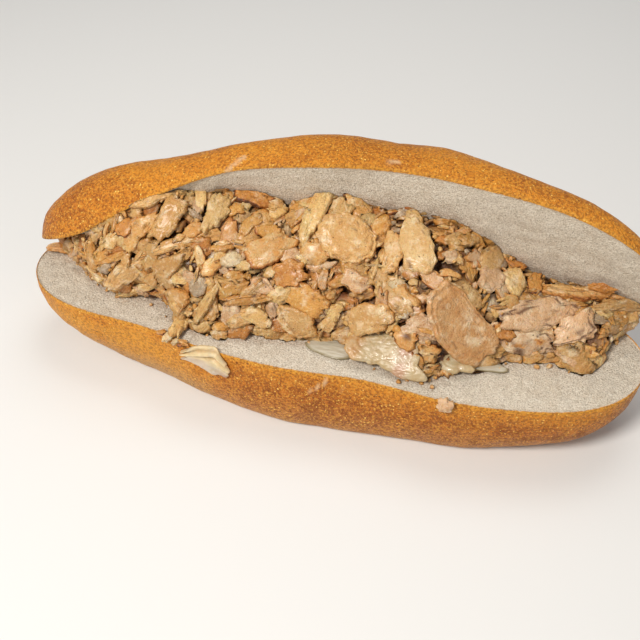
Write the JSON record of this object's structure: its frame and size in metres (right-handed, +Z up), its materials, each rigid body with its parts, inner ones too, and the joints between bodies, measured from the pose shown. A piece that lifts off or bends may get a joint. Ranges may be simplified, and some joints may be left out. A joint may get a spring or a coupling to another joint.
{
  "type": "chicken cheesesteak sandwich",
  "caption": "Long crusty roll cut along its front and folded open, heaped with chopped browned chicken, melted cheese and onion.",
  "frame": {"origin": "middle of the bounding box at the level of the flat underside", "axes": "+X along the roll towards its right end, +Y from the open front to the hinge at the back, +Z up"},
  "size_m": [0.308, 0.1148, 0.1137],
  "materials": {
    "bread": "baked crust, satin, with a pale matt crumb where it is cut",
    "chicken": "browned cooked meat, slightly moist",
    "cheese": "melted, smooth and a little glossy",
    "onion": "cooked, wet and translucent"
  },
  "bodies": {
    "root": {"roll": "bread", "chicken": "chicken", "strand_in_front": "chicken", "crumb_on_edge": "chicken", "scrap_on_bread": "chicken", "cheese_slab": "cheese", "cheese_tip": "cheese", "cheese_fold": "cheese", "onion_front": "onion", "onion_right": "onion"}
  },
  "joints": []
}
